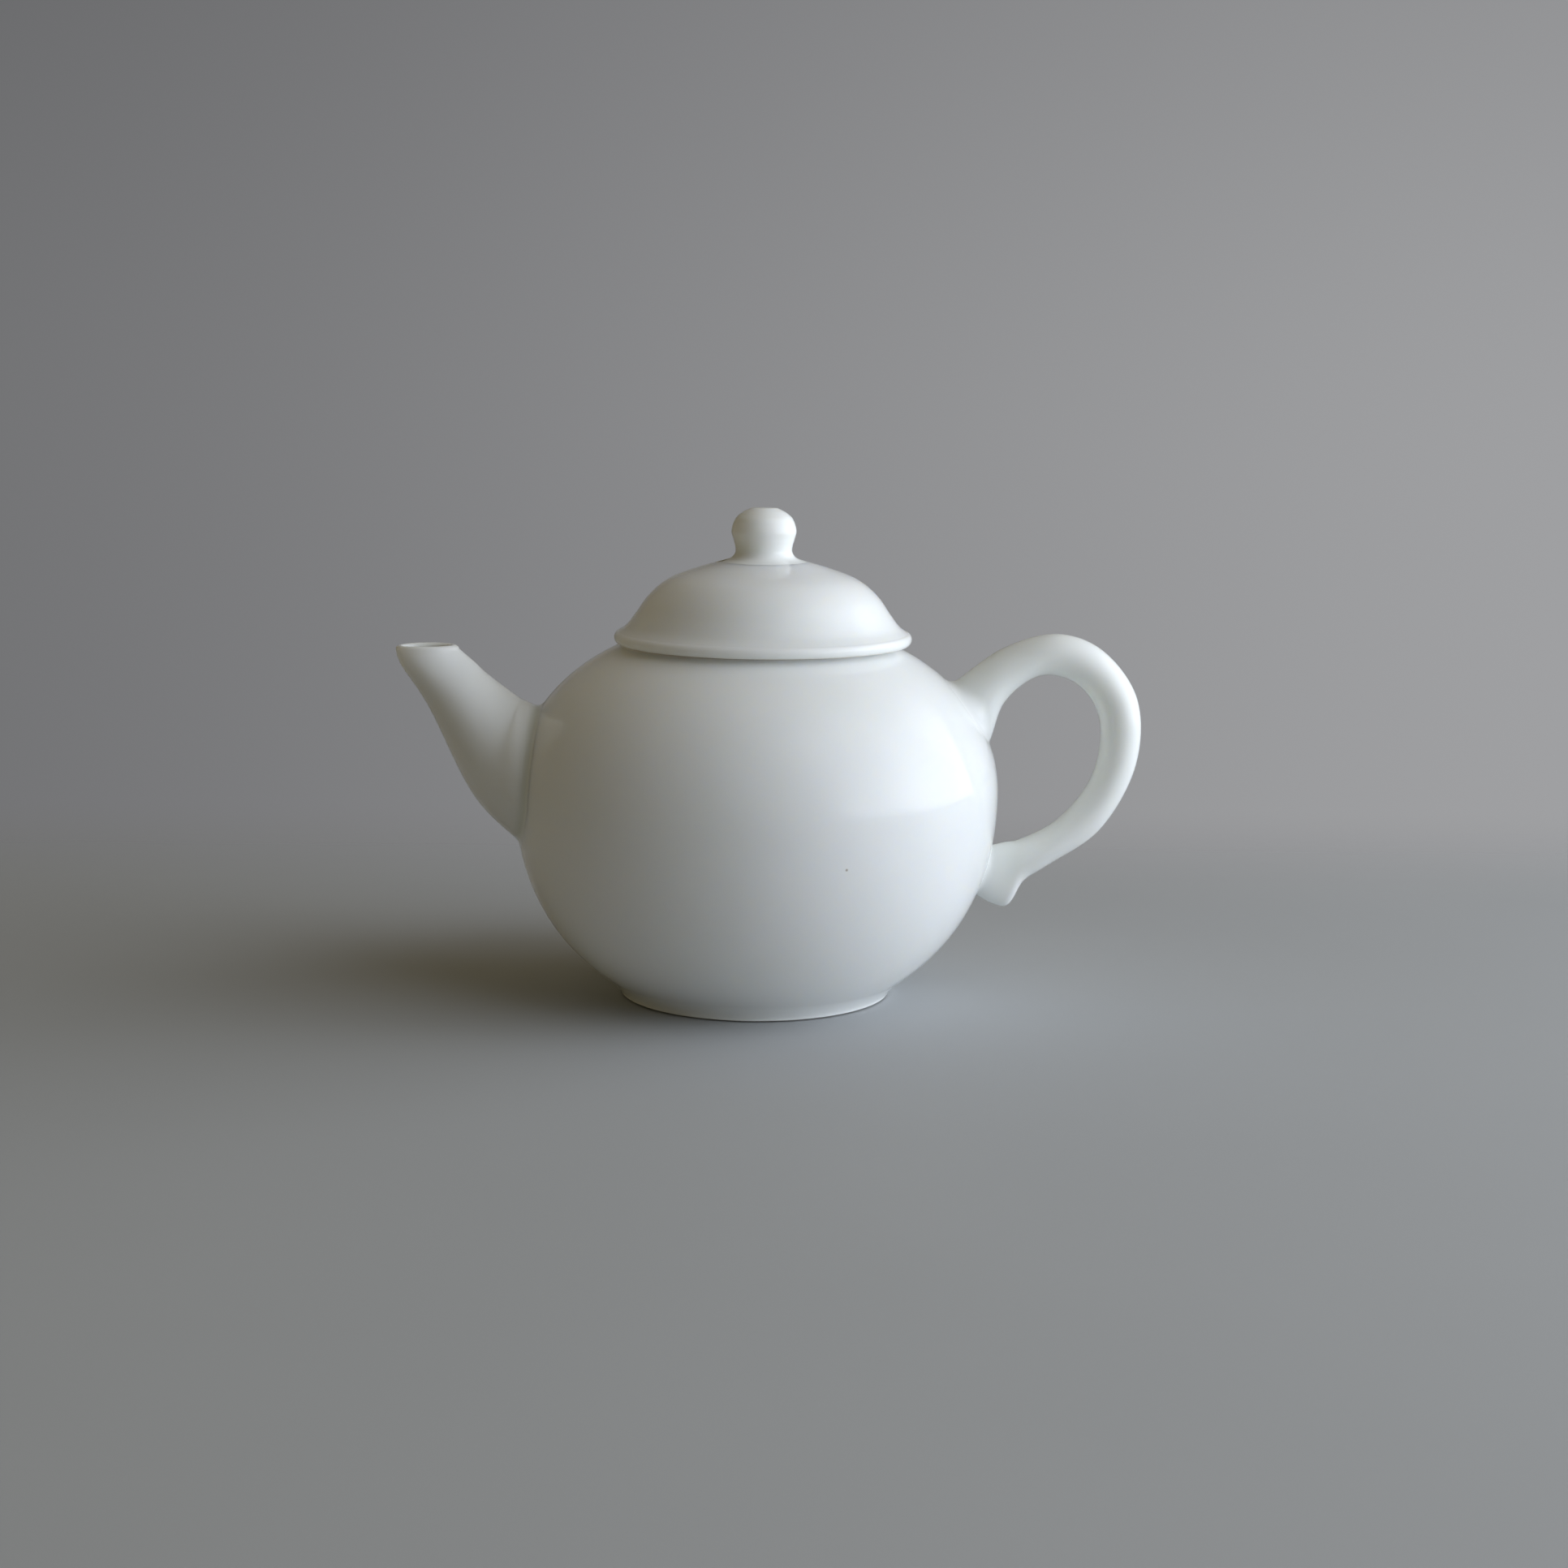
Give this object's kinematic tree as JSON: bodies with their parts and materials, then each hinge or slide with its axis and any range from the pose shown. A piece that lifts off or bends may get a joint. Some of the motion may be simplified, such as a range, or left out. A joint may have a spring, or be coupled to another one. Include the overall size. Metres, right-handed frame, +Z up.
{
  "type": "porcelain teapot",
  "caption": "Small round white porcelain teapot with a tapered spout, an ear handle and a domed lift-off lid with a ball knob.",
  "frame": {"origin": "on the table, under the middle of the pot's overall length", "axes": "+X towards the handle, +Z up, so the spout points to -X"},
  "size_m": [0.1261, 0.082, 0.0827],
  "materials": {
    "glazed_body": "gloss",
    "glazed_spout": "gloss",
    "glazed_strainer": "gloss",
    "glazed_handle": "gloss",
    "glazed_lid": "gloss",
    "bare_collar": "matte",
    "glazed_knob": "gloss"
  },
  "bodies": {
    "pot": {"pot_body": "glazed_body", "spout": "glazed_spout", "spout_strainer": "glazed_strainer", "handle": "glazed_handle"},
    "lid": {"lid": "glazed_lid", "lid_collar": "bare_collar", "lid_knob": "glazed_knob"}
  },
  "joints": [
    {"name": "lid_lift", "type": "slide", "parent": "pot", "child": "lid", "axis": [0, 0, 1], "range_m": [0, 0.04]}
  ]
}
